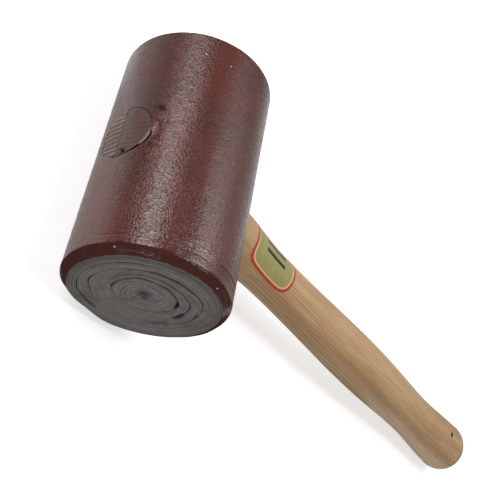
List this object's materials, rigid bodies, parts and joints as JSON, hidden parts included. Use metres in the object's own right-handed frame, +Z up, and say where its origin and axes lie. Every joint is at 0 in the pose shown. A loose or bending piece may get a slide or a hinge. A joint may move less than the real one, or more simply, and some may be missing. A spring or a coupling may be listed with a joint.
{
  "type": "rawhide mallet",
  "caption": "Rawhide mallet: a cylindrical head rolled from varnished hide strips with chamfered striking faces, on a wedged, contoured ash handle.",
  "frame": {"origin": "centre of the front striking face", "axes": "-Y out of the front striking face, so the head's axis runs along +Y; the handle leaves the head towards +X; +Z up, with the mallet lying at rest on the side of its head and on its butt"},
  "size_m": [0.3695, 0.12, 0.07],
  "materials": {
    "rawhide_core": "cut end grain of rolled rawhide, grey-brown, matt with fine layered lines",
    "rawhide_outer": "varnished rawhide, dark red-brown, semi-gloss with a fine pebbled grain",
    "ash": "pale ash, long straight grain, satin lacquer",
    "wedge_wood": "hardwood wedge, stained by the head's varnish"
  },
  "bodies": {
    "root": {"hide_core_front": "rawhide_core", "hide_core_back": "rawhide_core", "hide_second_strip": "rawhide_core", "hide_third_strip": "rawhide_core", "hide_outer_strip": "rawhide_outer", "handle": "ash", "handle_wedge": "wedge_wood"}
  },
  "joints": []
}
